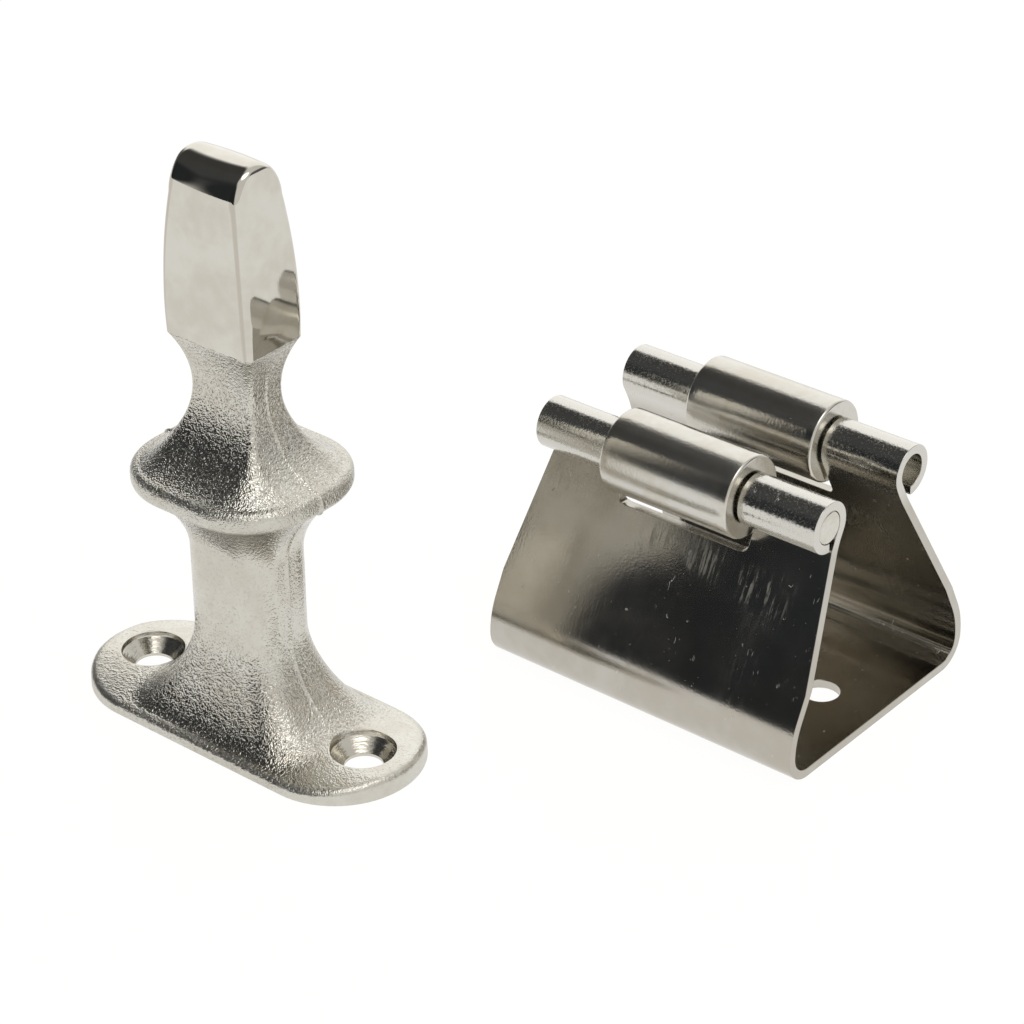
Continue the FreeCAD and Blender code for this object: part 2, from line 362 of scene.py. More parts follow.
SIDE_FALL = 1.3  # how far the plate's top drops at its long sides
SIDE_FALL_START = 3.5  # from the middle line
SIDE_FALL_POWER = 1.35
END_FALL = 0.35  # the same at its far end
END_FALL_START = 17
SEAM_HEIGHT = 0.28
SEAM_WIDTH = 0.24
SEAM_LEAST = 2.5  # the seam runs on the two ends only, further out than this
WAVE_HEIGHT = 0.045
CAST_INSET = 0.03  # keeps the waves inside the solid's box


def casting_points():
    """The casting's grid: sections, the plate's top falling to its long sides, seam and waves.

    The seam is a ridge with a bell-shaped section along each end, and its height drifts.
    """
    rows = np.vstack([plate_rows(), post_rows()])
    x, y = rounded_rectangle(rows[:, 0], rows[:, 1], rows[:, 2])
    x, y = cambered(x, y, rows)
    z = np.broadcast_to(rows[:, 3:4], x.shape).copy()
    to_side = (np.abs(y) - SIDE_FALL_START) / (PLATE_HALF[1] - SIDE_FALL_START)
    to_end = (-x - END_FALL_START) / (PLATE_HALF[0] - END_FALL_START)
    fall = SIDE_FALL * np.clip(to_side, 0, 1) ** SIDE_FALL_POWER
    fall += END_FALL * np.clip(to_end, 0, 1) ** 2
    z -= fall * np.clip(z / PLATE_THICKNESS, 0, 1) * np.clip((9 - z) / 6, 0, 1)
    points = np.stack([x, y, z], axis=-1)
    normal = grid_normals(points)
    seam = SEAM_HEIGHT * np.exp(-(y / SEAM_WIDTH) ** 2) * (np.abs(x) > SEAM_LEAST)
    seam *= np.clip((z - 3.4) / 1.5, 0, 1) * np.clip((HEAD_BOTTOM - 1 - z) / 3, 0, 1)
    seam *= 0.65 + 0.35 * waves(points, (3.1, 4.7, 7.3), 5)
    cast = np.clip((z - 0.4) / 1.0, 0, 1) * np.clip((STRIKE_HEIGHT - 0.3 - z) / 2, 0, 1)
    polished = np.clip((z - HEAD_BOTTOM) / 1.0, 0, 1)
    drift = waves(points, (6, 9, 13, 17), 11) * WAVE_HEIGHT * (1 - 0.65 * polished) * cast
    inside = np.clip(rows[:, 3:4] / 0.4, 0, 1)
    return points + normal * (seam + (drift - CAST_INSET * cast) * inside)[..., None]


def screw_cutter(name, x):
    """Through hole, cone and recess for a countersunk screw, opening a little at its rim."""
    cone_depth = SEAT_RADIUS - STRIKE_HOLE_RADIUS
    recess_floor = PLATE_THICKNESS - SEAT_RECESS
    clear = 3  # how far the cutter reaches above the plate
    profile = [(-1, 0), (-1, STRIKE_HOLE_RADIUS), (recess_floor - cone_depth, STRIKE_HOLE_RADIUS),
               (recess_floor, SEAT_RADIUS)]
    for above, wider in ((-0.2, 0.02), (0, 0.12), (0.5, 0.5), (clear, 0.5)):
        profile.append((PLATE_THICKNESS + above, SEAT_RADIUS + wider))
    profile.append((PLATE_THICKNESS + clear, 0))
    return revolved(name, profile, STRIKE_Y, 0.0, 72, axis="Z", centre_x=STRIKE_X + x)


def strike_casting():
    """The casting as one closed surface with its two screw holes cut through."""
    points = casting_points() + np.array([STRIKE_X, STRIKE_Y, 0])
    rows, columns = points.shape[:2]
    piece = finish_mesh("strike_casting", points, grid_faces(rows, columns, closed_columns=True))
    cutters = []
    for side in (-1, 1):
        cutter = screw_cutter(f"screw_cutter_{side + 1}", side * STRIKE_HOLE_SPACING / 2)
        cut = piece.modifiers.new("screw_hole", "BOOLEAN")
        cut.operation = "DIFFERENCE"
        cut.solver = "EXACT"
        cut.object = cutter
        cutters.append(cutter)
    applied(piece)
    for cutter in cutters:
        bpy.data.objects.remove(cutter)
    smooth(piece, 38)
    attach(piece, "strike")
    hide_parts("strike")
    return piece


# ---- clip sheet

def arm_lean():
    """Angle from upright of the straight tangent to the shoulder bend and to the eye."""
    across = PIN_Y - SHOULDER_Y
    up = PIN_HEIGHT - BEND_OUTER
    distance = math.hypot(across, up)
    return math.atan2(up, across) - math.acos((SHOULDER_BEND + EYE_OUTER) / distance)


def arc_pair(centre_y, centre_z, outside, channel, start, stop, steps):
    """Two concentric arcs, one for each face of the sheet: (y, z, y, z) per row."""
    turn = np.linspace(start, stop, steps)
    return np.stack([centre_y + outside * np.cos(turn), centre_z + outside * np.sin(turn),
                     centre_y + channel * np.cos(turn), centre_z + channel * np.sin(turn)], axis=1)


def panel_pair(lean):
    """The arm's straight. Rows keep both faces level at the taper, notch floor and notch corner."""
    toward_y, toward_z = math.cos(lean), math.sin(lean)
    faces = []
    for shoulder, eye in ((SHOULDER_OUTER, PIN_RADIUS), (SHOULDER_BEND, EYE_OUTER)):
        low = SHOULDER_Y + shoulder * toward_y, BEND_OUTER + shoulder * toward_z
        high = PIN_Y - eye * toward_y, PIN_HEIGHT - eye * toward_z
        levels = np.array([low[1], TAPER_HEIGHT, NOTCH_FLOOR, NOTCH_FLOOR + NOTCH_CORNER, high[1]])
        z = np.concatenate([
            np.linspace(levels[0], levels[1], 5)[1:],
            np.linspace(levels[1], levels[2], 16)[1:],
            levels[2] + NOTCH_CORNER * (1 - np.cos(quarter(8)))[1:],
            np.linspace(levels[3], levels[4], 5)[1:-1],
        ])
        y = low[0] + (high[0] - low[0]) * (z - low[1]) / (high[1] - low[1])
        faces += [y, z]
    return np.stack(faces, axis=1)


def arm_profile():
    """Rows (y, z, y, z) of the outer and channel faces from the base bend to the eye's end."""
    lean = arm_lean()
    return np.vstack([
        arc_pair(FLAT_HALF, BEND_OUTER, BEND_OUTER, BASE_BEND, -math.pi / 2, 0, 19)[1:],
        arc_pair(SHOULDER_Y, BEND_OUTER, SHOULDER_OUTER, SHOULDER_BEND, 0, lean, 12)[1:],
        panel_pair(lean),
        arc_pair(PIN_Y, PIN_HEIGHT, PIN_RADIUS, EYE_OUTER,
                 math.pi + lean, math.radians(EYE_END_ANGLE), 64),
    ])


def base_profile(start):
    """Flat rows from start out to the bend, a millimetre apart near the screw holes."""
    if start > -HOLE_SQUARE:
        y = np.array([FLAT_HALF])
    else:
        near = np.arange(-HOLE_SQUARE, HOLE_SQUARE + 1.0)
        y = np.concatenate([np.linspace(start, -HOLE_SQUARE, 8)[:-1], near,
                            np.linspace(HOLE_SQUARE, FLAT_HALF, 8)[1:]])
    return np.stack([y, np.zeros_like(y), y, np.full_like(y, SHEET)], axis=1)


def blank_columns():
    """Places along X, and how many of them lie outside each end of the notch.

    They are a millimetre apart near the screw holes.
    """
    inner = NOTCH_HALF - NOTCH_CORNER
    hole = HOLE_SPACING / 2
    near = np.arange(hole - HOLE_SQUARE, hole + HOLE_SQUARE + 1)
    side = np.concatenate([[0, 1.2], near - inner, [11.6, 12.9, 14.2, BASE_LENGTH / 2 - inner]])
    side = side + NOTCH_HALF - NOTCH_CORNER
    middle = np.linspace(-side[0], side[0], 17)[1:-1]
    return np.concatenate([-side[::-1], middle, side]), len(side)


def sheet_rows(profile, columns):
    """Carries the columns along the profile, following the taper and the notch's corners.

    The outline's half length falls in a straight line from the taper's start up to the eyes, and
    the notch's edge follows a quarter circle above its floor.
    """
    out = []
    inner = NOTCH_HALF - NOTCH_CORNER
    for y, z in (profile[:, 0:2].T, profile[:, 2:4].T):
        taper = np.clip((z - TAPER_HEIGHT) / (PIN_HEIGHT - EYE_OUTER - TAPER_HEIGHT), 0, 1)
        half = BASE_LENGTH / 2 + (EYE_LENGTH - BASE_LENGTH) / 2 * taper
        above = np.clip((z - NOTCH_FLOOR) / NOTCH_CORNER, 0, 1)
        notch = inner + NOTCH_CORNER * np.sqrt(1 - (1 - above) ** 2)
        size = np.abs(columns)[None, :]
        spread = (half - notch) / (BASE_LENGTH / 2 - inner)
        outer_part = notch[:, None] + (size - inner) * spread[:, None]
        x = np.where(size >= inner - TINY, outer_part, size * (notch / inner)[:, None])
        x = x * np.sign(columns)[None, :]
        out.append(np.stack(np.broadcast_arrays(x, y[:, None], z[:, None]), axis=-1))
    return out


def hole_patch(centre_x):
    """Square of sheet with a round hole: rings that go evenly from the square to the circle."""
    walk = np.arange(2.0 * HOLE_SQUARE)
    edge = np.full_like(walk, HOLE_SQUARE)
    there, back = walk - edge, edge - walk
    sides = (there, -edge), (edge, there), (back, edge), (-edge, back)
    square = np.concatenate([np.stack(side, 1) for side in sides])
    turn = np.arctan2(square[:, 1], square[:, 0])
    circle = HOLE_RADIUS * np.stack([np.cos(turn), np.sin(turn)], 1)
    share = np.linspace(0, 1, 6)[:, None, None]
    flat = square[None] * (1 - share) + circle[None] * share + np.array([centre_x, 0])
    below = np.concatenate([flat, np.zeros(flat.shape[:2] + (1,))], axis=-1)
    above = np.concatenate([flat, np.full(flat.shape[:2] + (1,), SHEET)], axis=-1)
    return below, above, grid_faces(len(share), len(square), closed_columns=True)


def sheet_piece(name, side, start, holes):
    """Both faces of the bent blank, with walls along every open edge of its outline."""
    profile = np.vstack([base_profile(start), arm_profile()])
    columns, side_count = blank_columns()
    outside, channel = sheet_rows(profile, columns)
    rows = len(profile)
    count = len(columns)
    faces = grid_faces(rows, count)
    row, column = np.divmod(faces[:, 0], count)
    floor_row = np.argmin(np.abs(profile[:, 1] - NOTCH_FLOOR) + (profile[:, 0] < PIN_Y) * 9)
    between = (column >= side_count - 1) & (column < count - side_count)
    keep = ~(between & (row >= floor_row))
    if holes:
        following = np.minimum(row + 1, rows - 1)
        mid_y = (profile[row, 0] + profile[following, 0]) / 2
        flat = profile[row, 1] + profile[following, 1] < TINY
        mid_x = np.abs(columns[column] + columns[column + 1]) / 2
        near = (np.abs(mid_y) < HOLE_SQUARE) & (np.abs(mid_x - HOLE_SPACING / 2) < HOLE_SQUARE)
        keep &= ~(flat & near)
    faces = faces[keep]
    outside, channel = outside.reshape(-1, 3), channel.reshape(-1, 3)
    if holes:
        for centre_x in (-HOLE_SPACING / 2, HOLE_SPACING / 2):
            below, above, patch = hole_patch(centre_x)
            faces = np.vstack([faces, patch + len(outside)])
            outside = np.vstack([outside, below.reshape(-1, 3)])
            channel = np.vstack([channel, above.reshape(-1, 3)])
    return sheet_solid(name, outside, channel, faces, side)


def sheet_solid(name, outside, channel, faces, side):
    """Welds the blank, then closes it: faces once for each side of the sheet, and a wall quad
    along each edge that only one face uses."""
    keys = np.round(np.hstack([outside, channel]) * 1e4).astype(np.int64)
    _, first, merged = np.unique(keys, axis=0, return_index=True, return_inverse=True)
    faces = merged.reshape(-1)[faces]
    outside, channel = outside[first], channel[first]
    size = len(outside)
    starts, stops = faces.reshape(-1), np.roll(faces, -1, axis=1).reshape(-1)
    undirected = np.sort(np.stack([starts, stops], 1), axis=1)
    _, back, counts = np.unique(undirected, axis=0, return_inverse=True, return_counts=True)
    open_edge = counts[back.reshape(-1)] == 1
    a, b = starts[open_edge], stops[open_edge]
    walls = np.stack([b, a, a + size, b + size], axis=1)
    every = np.vstack([faces, faces[:, ::-1] + size, walls])
    points = np.vstack([outside, channel])
    points[:, 1] *= side
    used, compact = np.unique(every, return_inverse=True)
    kinds = np.repeat([0, 1], [2 * len(faces), len(walls)]).astype(np.int32)
    piece = finish_mesh(name, points[used], compact.reshape(-1, 4), material_numbers=kinds)
    bevel = piece.modifiers.new("broken_edges", "BEVEL")
    bevel.width = EDGE_BREAK * MM
    bevel.segments = 2
    bevel.limit_method = "ANGLE"
    bevel.angle_limit = math.radians(50)
    bevel.use_clamp_overlap = False
    bevel.harden_normals = True
    bevel.material = 1
    applied(piece)
    return piece


def clip_sheets():
    """The two pieces of the bent sheet, each with the base bend at the foot of its arm."""
    front = sheet_piece("clip_base_and_front_arm", -1, -FLAT_HALF, True)
    rear = sheet_piece("clip_rear_arm", 1, FLAT_HALF, False)
    for piece, arm, side in ((front, "front_arm", -1), (rear, "rear_arm", 1)):
        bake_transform(piece)
    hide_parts("clip_base", "front_spring_arm")
    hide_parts("rear_spring_arm")
    return front, rear


# ---- pins and rollers

def pin(name, side):
    """Drawn rod with broken ends, pushed in from its own side until flush with the eye."""
    start = -EYE_LENGTH / 2 if side > 0 else EYE_LENGTH / 2 - PIN_LENGTH
    stop = start + PIN_LENGTH
    body = PIN_RADIUS - PIN_SHRINK
    profile = [(start + 0.08, 0), (start + 0.03, body * 0.5), (start, body - PIN_EDGE - 0.1)]
    profile += rounded_corner(start + PIN_EDGE, body - PIN_EDGE, PIN_EDGE, 180, 90)
    profile += [(x, body) for x in np.linspace(start + 2, stop - 2, 12)]
    profile += rounded_corner(stop - PIN_EDGE, body - PIN_EDGE, PIN_EDGE, 90, 0)
    profile += [(stop, body - PIN_EDGE - 0.1), (stop - 0.03, body * 0.5), (stop - 0.08, 0)]
    piece = revolved(name, profile, side * PIN_Y, PIN_HEIGHT)
    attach(piece, "rear_arm" if side > 0 else "front_arm")
    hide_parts("rear_pin" if side > 0 else "front_pin")
    return piece


def roller(name, side):
    """Sleeve: a closed profile through the bore, round its lead-ins, faces and rounded edges."""
    half = ROLLER_LENGTH / 2
    lead = BORE_LEAD_IN
    profile = [(x, BORE_RADIUS) for x in np.linspace(-half + lead, half - lead, 9)]
    profile += rounded_corner(half - lead, BORE_RADIUS + lead, lead, -90, 0)[1:]
    face = [BORE_RADIUS + 1.2, ROLLER_RADIUS - 1.2, ROLLER_RADIUS - ROLLER_EDGE - 0.1]
    profile += [(half, radius) for radius in face]
    profile += rounded_corner(half - ROLLER_EDGE, ROLLER_RADIUS - ROLLER_EDGE, ROLLER_EDGE, 0, 90)
    profile += [(x, ROLLER_RADIUS) for x in np.linspace(half - 1.5, -half + 1.5, 12)]
    profile += rounded_corner(-half + ROLLER_EDGE, ROLLER_RADIUS - ROLLER_EDGE, ROLLER_EDGE, 90, 180)
    profile += [(-half, radius) for radius in face[::-1]]
    profile += rounded_corner(-half + lead, BORE_RADIUS + lead, lead, 180, 270)[:-1]
    piece = revolved(name, profile, side * PIN_Y, PIN_HEIGHT, 128, closed=True)
    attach(piece, name)
    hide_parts(name)
    piece.name = name + "_sleeve"
    return piece


# ---- node helpers

def node(tree, kind, **settings):
    made = tree.nodes.new(kind)
    for key, value in settings.items():
        setattr(made, key, value)
    return made


def feed(tree, target, source):
    """Gives an input socket a link or a plain value."""
    if isinstance(source, bpy.types.NodeSocket):
        tree.links.new(source, target)
    elif source is not None:
        target.default_value = source


def maths(operation):
    """Function that adds one maths node of this kind, fed with sockets or plain numbers."""
    def make(tree, *sources):
        made = node(tree, "ShaderNodeMath", operation=operation)
        for target, source in zip(made.inputs, sources):
            feed(tree, target, source)
        return made.outputs[0]
    return make


add, less, times, divide = (maths(kind) for kind in ("ADD", "SUBTRACT", "MULTIPLY", "DIVIDE"))
times_plus = maths("MULTIPLY_ADD")
greater, size_of, root = (maths(kind) for kind in ("MAXIMUM", "ABSOLUTE", "SQRT"))


def distance(tree, first, second):
    """Square root of the sum of the two squares."""
    return root(tree, add(tree, times(tree, first, first), times(tree, second, second)))


def noise(tree, vector, scale, detail=2.0, roughness=0.5, distortion=0.0):
    made = node(tree, "ShaderNodeTexNoise")
    for key, source in (("Vector", vector), ("Scale", scale), ("Detail", detail),
                        ("Roughness", roughness), ("Distortion", distortion)):
        feed(tree, made.inputs[key], source)
    return made.outputs["Fac"]


def ramp(tree, value, low, high, to_low=0.0, to_high=1.0, kind="LINEAR"):
    """Straight line from to_low at low to to_high at high, held level outside them."""
    made = node(tree, "ShaderNodeMapRange", interpolation_type=kind)
    for key, source in (("Value", value), ("From Min", low), ("From Max", high),
                        ("To Min", to_low), ("To Max", to_high)):
        feed(tree, made.inputs[key], source)
    return made.outputs["Result"]


def ease(tree, value, low, high, to_low=0.0, to_high=1.0):
    """A ramp that follows an S-shaped curve."""
    return ramp(tree, value, low, high, to_low, to_high, "SMOOTHSTEP")


def window(tree, value, low, high, soft):
    """One between low and high, falling to zero over twice the soft distance at both ends."""
    rise = ease(tree, value, low - soft, low + soft)
    drop = ease(tree, value, high - soft, high + soft, 1.0, 0.0)
    return times(tree, rise, drop)


def mix_colour(tree, share, first, second):
    made = node(tree, "ShaderNodeMix", data_type="RGBA")
    feed(tree, made.inputs["Factor"], share)
    feed(tree, made.inputs[6], first)
    feed(tree, made.inputs[7], second)
    return made.outputs[2]


def scaled_vector(tree, vector, scale):
    made = node(tree, "ShaderNodeMapping")
    feed(tree, made.inputs["Vector"], vector)
    made.inputs["Scale"].default_value = scale
    return made.outputs["Vector"]


VECTOR, FLOAT, COLOUR = "NodeSocketVector", "NodeSocketFloat", "NodeSocketColor"


def new_group(name, inputs, outputs):
    """Empty node group with named sockets, and its input and output nodes."""
    group = bpy.data.node_groups.new(name, "ShaderNodeTree")
    for way, sockets in (("INPUT", inputs), ("OUTPUT", outputs)):
        for label, kind in sockets.items():
            group.interface.new_socket(label, in_out=way, socket_type=kind)
    return group, node(group, "NodeGroupInput"), node(group, "NodeGroupOutput")


def use_group(tree, group, **values):
    made = node(tree, "ShaderNodeGroup", node_tree=group)
    for label, value in values.items():
        feed(tree, made.inputs[label], value)
    return made.outputs


# ---- shared effects

def millimetre_group():
    """Object coordinates counted in millimetres."""
    group, _, out = new_group("millimetres", {}, {"Place": VECTOR})
    coordinates = node(group, "ShaderNodeTexCoord")
    place = scaled_vector(group, coordinates.outputs["Object"], (1 / MM,) * 3)
    feed(group, out.inputs["Place"], place)
    return group


def tone_group():
    """Slow drift between two tones of metal, with a finer drift on top."""
    group, inp, out = new_group(
        "tone_drift", {"Place": VECTOR, "Patch": FLOAT, "Light": COLOUR, "Warm": COLOUR}, {"Colour": COLOUR})
    scale = divide(group, 1.0, inp.outputs["Patch"])
    slow = noise(group, inp.outputs["Place"], scale, detail=3.0, roughness=0.55, distortion=0.6)
    fine = noise(group, inp.outputs["Place"], times(group, scale, 6.0))
    both = times_plus(group, fine, 0.3, times(group, slow, 0.7))
    share = ease(group, both, 0.36, 0.64)
    colour = mix_colour(group, share, inp.outputs["Light"], inp.outputs["Warm"])
    feed(group, out.inputs["Colour"], colour)
    return group


def squeeze(tree, place, by):
    """Place times a vector: large numbers crowd the pattern along that axis, small ones draw it out."""
    made = node(tree, "ShaderNodeVectorMath", operation="MULTIPLY")
    feed(tree, made.inputs[0], place)
    feed(tree, made.inputs[1], by)
    return made.outputs[0]


def line_group():
    """Fine lines left by rolling, drawing or turning: noise squeezed across the line direction."""
    group, inp, out = new_group(
        "tool_lines", {"Place": VECTOR, "Across": VECTOR}, {"Height": FLOAT, "Broad": FLOAT})
    squeezed = squeeze(group, inp.outputs["Place"], inp.outputs["Across"])
    feed(group, out.inputs["Height"], noise(group, squeezed, 1.0, detail=4.0, roughness=0.65))
    feed(group, out.inputs["Broad"], noise(group, squeezed, 0.22))
    return group


def scratch_group():
    """Sparse short scratches: thin level lines of a stretched noise, kept in a few places only."""
    group, inp, out = new_group(
        "handling_scratches", {"Place": VECTOR, "Stretch": VECTOR, "Amount": FLOAT}, {"Mask": FLOAT})
    squeezed = squeeze(group, inp.outputs["Place"], inp.outputs["Stretch"])
    lines = noise(group, squeezed, 1.0, detail=1.0, roughness=0.4, distortion=0.35)
    off = size_of(group, less(group, lines, 0.5))
    thin = ramp(group, off, 0.0, 0.012, 1.0, 0.0)
    places = noise(group, inp.outputs["Place"], 0.55, detail=1.0)
    limit = less(group, 1.0, times(group, inp.outputs["Amount"], 0.5))
    kept = ramp(group, places, limit, add(group, limit, 0.05))
    feed(group, out.inputs["Mask"], times(group, thin, kept))
    return group


def steel(name, build):
    """Metal material; build returns (colour, roughness, height, depth of height 1 in metres)."""
    material = bpy.data.materials.new(name)
    material.use_nodes = True
    tree = material.node_tree
    tree.nodes.clear()
    out = node(tree, "ShaderNodeOutputMaterial")
    shader = node(tree, "ShaderNodeBsdfPrincipled")
    shader.inputs["Metallic"].default_value = 1.0
    tree.links.new(shader.outputs[0], out.inputs["Surface"])
    colour, roughness, height, depth = build(tree)
    feed(tree, shader.inputs["Base Color"], colour)
    feed(tree, shader.inputs["Roughness"], roughness)
    bump = node(tree, "ShaderNodeBump")
    bump.inputs["Strength"].default_value = 1.0
    bump.inputs["Distance"].default_value = depth
    feed(tree, bump.inputs["Height"], height)
    tree.links.new(bump.outputs[0], shader.inputs["Normal"])
    return material


MILLIMETRES = millimetre_group()
TONE = tone_group()
LINES = line_group()
SCRATCHES = scratch_group()

LIGHT_STEEL = (0.62, 0.605, 0.55, 1)
WARM_STEEL = (0.56, 0.53, 0.465, 1)
LIGHT_SHEET = (0.50, 0.48, 0.435, 1)
WARM_SHEET = (0.45, 0.42, 0.365, 1)
TUBE_STEEL = (0.60, 0.585, 0.54, 1)
DARK_PIT = (0.20, 0.19, 0.175, 1)
# Painted shade: darker, warmer tone laid beside the head's upright corners
CORNER_PAINTED_SHADE = (0.47, 0.43, 0.37, 1)
CUT_STEEL = (0.66, 0.645, 0.62, 1)
PALE_SCRATCH = (0.8, 0.79, 0.77, 1)


def place_of(tree):
    """The point's place on the object, in millimetres."""
    return use_group(tree, MILLIMETRES)["Place"]


def separate(tree, vector):
    made = node(tree, "ShaderNodeSeparateXYZ")
    feed(tree, made.inputs[0], vector)
    return made.outputs


def near_screw_holes(tree, x, y):
    """One inside the two countersinks, from the distance to each hole's axis."""
    along = less(tree, size_of(tree, x), STRIKE_HOLE_SPACING / 2)
    return ramp(tree, distance(tree, along, y), SEAT_RADIUS + 0.1, SEAT_RADIUS + 0.3, 1.0, 0.0)


def rubbed_rims(tree, x, y, z):
    """One on the outer edges of the collar and the plate, which tumbling wears paler and duller."""
    wide_x = divide(tree, x, COLLAR[0])
    wide_y = divide(tree, y, COLLAR[1])
    spread = add(tree, times(tree, wide_x, wide_x), times(tree, wide_y, wide_y))
    collar = times(tree, ease(tree, spread, 0.78, 0.9),
                   window(tree, z, COLLAR_BOTTOM, COLLAR_BOTTOM + COLLAR_RIM, 0.4))
    reach = PLATE_HALF[0] - PLATE_HALF[1]
    past = greater(tree, less(tree, size_of(tree, x), reach), 0.0)
    rim_start, rim_full = PLATE_HALF[1] - 1.4, PLATE_HALF[1] - 0.7
    rim = ease(tree, distance(tree, past, y), rim_start, rim_full)
    low = ramp(tree, z, PLATE_THICKNESS, PLATE_THICKNESS + 0.6, 1.0, 0.0)
    return greater(tree, collar, times(tree, rim, low))


def head_corner_shade_mask(tree, x, y, z):
    """One on the broad faces' half of the head's rounded upright corners, where shade is painted.

    A point's gap to each of the head's two planes, which taper and bulge as its rows do, is
    small near a corner; on the broad side the gap along X is the larger one.
    """
    tall = HEAD_SHOULDER - HEAD_BOTTOM
    way = divide(tree, less(tree, z, HEAD_BOTTOM), tall)
    bulge = times(tree, times(tree, way, less(tree, 1.0, way)), 4 * HEAD_BULGE)
    gaps = []
    for value, low, high in ((x, HEAD_LOW[0], HEAD_HIGH[0]), (y, HEAD_LOW[1], HEAD_HIGH[1])):
        half = add(tree, times_plus(tree, way, high - low, low), bulge)
        gaps.append(less(tree, half, size_of(tree, value)))
    near = ease(tree, add(tree, *gaps), 0.75, 1.05, 1.0, 0.0)
    broad_side = ease(tree, less(tree, *gaps), 0.1, 0.4)
    return times(tree, near, broad_side)


# Casting: roughness of its finishes, depth of its grain, darkening of its pits and strength of the shade
# painted beside the head's corners
TUMBLED_ROUGHNESS = (0.1, 0.19)
BUFFED_ROUGHNESS = 0.045
RUBBED_ROUGHNESS = 0.2  # added on the worn rims
CAST_GRAIN = 0.15
CALM_GRAIN_LOSS = 0.5  # share of the grain that the plate's ends and the stem lose
PIT_DARKENING = 0.36
# how strongly shade is painted beside the head's upright corners
CORNER_SHADE_STRENGTH = 0.8
CALM_ENDS = (14.0, 17.5)  # where the plate's ends turn calm, from its middle
CALM_STEM = (13.5, 31.0)  # heights between which the stem is calm


def cast_steel(tree):
    """Tumbled casting with a coarse grain, bored screw seats, a head buffed to a mirror and shade painted
    beside its upright corners.
    """
    place = place_of(tree)
    parts = separate(tree, place)
    x = less(tree, parts["X"], STRIKE_X)
    y = less(tree, parts["Y"], STRIKE_Y)
    z = parts["Z"]
    ragged = noise(tree, place, 1.1, detail=3.0, roughness=0.6)
    border = times_plus(tree, ragged, 0.5, HEAD_BOTTOM - 0.28)
    buffed = ramp(tree, less(tree, z, border), -0.1, 0.1)
    seat = near_screw_holes(tree, x, y)
    finished = greater(tree, buffed, seat)
    tone = use_group(tree, TONE, Place=place, Patch=11.0, Light=LIGHT_STEEL, Warm=WARM_STEEL)
    coarse = noise(tree, place, 2.3, detail=1.0, distortion=0.3)
    fine = noise(tree, place, 5.5, detail=0.0)
    grain = times_plus(tree, fine, 0.5, coarse)
    linish = use_group(tree, LINES, Place=place, Across=(4.0, 4.0, 0.12))["Height"]
    bored = noise(tree, scaled_vector(tree, place, (0.6, 0.6, 3.0)), 1.0, detail=3.0, roughness=0.6)
    quiet = times_plus(tree, times(tree, bored, seat), 0.5, times(tree, linish, 0.005))
    rough = ramp(tree, grain, 0.55, 0.95, *TUMBLED_ROUGHNESS)
    roughness = times_plus(tree, buffed, less(tree, BUFFED_ROUGHNESS, rough), rough)
    ends = ease(tree, size_of(tree, x), *CALM_ENDS)
    calm = greater(tree, ends, window(tree, z, *CALM_STEM, 3.0))
    raised = times(tree, grain, times_plus(tree, calm, -CALM_GRAIN_LOSS, 1.0))
    height = times_plus(tree, finished, less(tree, quiet, raised), raised)
    rims = rubbed_rims(tree, x, y, z)
    roughness = times_plus(tree, rims, RUBBED_ROUGHNESS, roughness)
    # Darker colour where the grain is low, less on the calm places and none on finished or rubbed ones
    pit = ramp(tree, grain, 0.72, 0.5, 0.0, PIT_DARKENING)
    unpitted = greater(tree, greater(tree, finished, rims), times(tree, calm, 0.5))
    pit = times(tree, pit, less(tree, 1.0, unpitted))
    colour = mix_colour(tree, pit, tone["Colour"], DARK_PIT)
    # Painted shade: a darker, warmer band on the broad faces beside the head's upright corners
    corner = times(tree, head_corner_shade_mask(tree, x, y, z), times(tree, buffed, CORNER_SHADE_STRENGTH))
    return mix_colour(tree, corner, colour, CORNER_PAINTED_SHADE), roughness, height, CAST_GRAIN * MM


# Where the die's marks lie: from and to along the sheet, from and to in height, strength
DIE_MARKS = [
    ((-5.0, 7.5), (21.0, 25.2), 0.8),
    ((10.5, 18.5), (20.0, 24.5), 1.0),
    ((-22.0, -11.0), (24.0, 28.0), 0.35),
    ((13.0, 17.5), (8.0, 19.0), 0.25),
    ((-20.0, 0.0), (5.0, 14.0), 0.12),
]


def die_marks(tree, place, x, z):
    """Short upright strokes that the bending die left: under the notch, by the eyes and lower down."""
    drawn_out = scaled_vector(tree, place, (2.6, 0.3, 0.16))
    strokes = noise(tree, drawn_out, 1.0, detail=3.0, roughness=0.6)
    strokes = ramp(tree, strokes, 0.48, 0.6)
    total = None
    for (low_x, high_x), (low_z, high_z), amount in DIE_MARKS:
        spot = times(tree, window(tree, x, low_x, high_x, 1.6), window(tree, z, low_z, high_z, 1.3))
        spot = times(tree, spot, amount)
        total = spot if total is None else add(tree, total, spot)
    uneven = ramp(tree, noise(tree, place, 0.35), 0.35, 0.55)
    return times(tree, times(tree, strokes, total), uneven)


# Sheet: roughness of its rolled face, and what each kind of mark adds to it
ROLLED_ROUGHNESS = (0.12, 0.19)
CURL_ROUGHNESS = 0.15
STRUCK_ROUGHNESS = 0.32
SPECK_ROUGHNESS = 0.22
SCRATCH_ROUGHNESS = 0.25
SHEARED_ROUGHNESS = (0.28, 0.42)
HOLLOW_DEPTH = 30.0  # slow hollows, line marks, satin and scratches, in hundredths
LINE_DEPTH = 0.35
SATIN_DEPTH = 0.7
SHEET_SCRATCH_DEPTH = -1.6
HUNDREDTH = 0.01
CURL_HEIGHTS = (28.0, 31.5)  # between which the sheet turns into the eyes' rougher finish


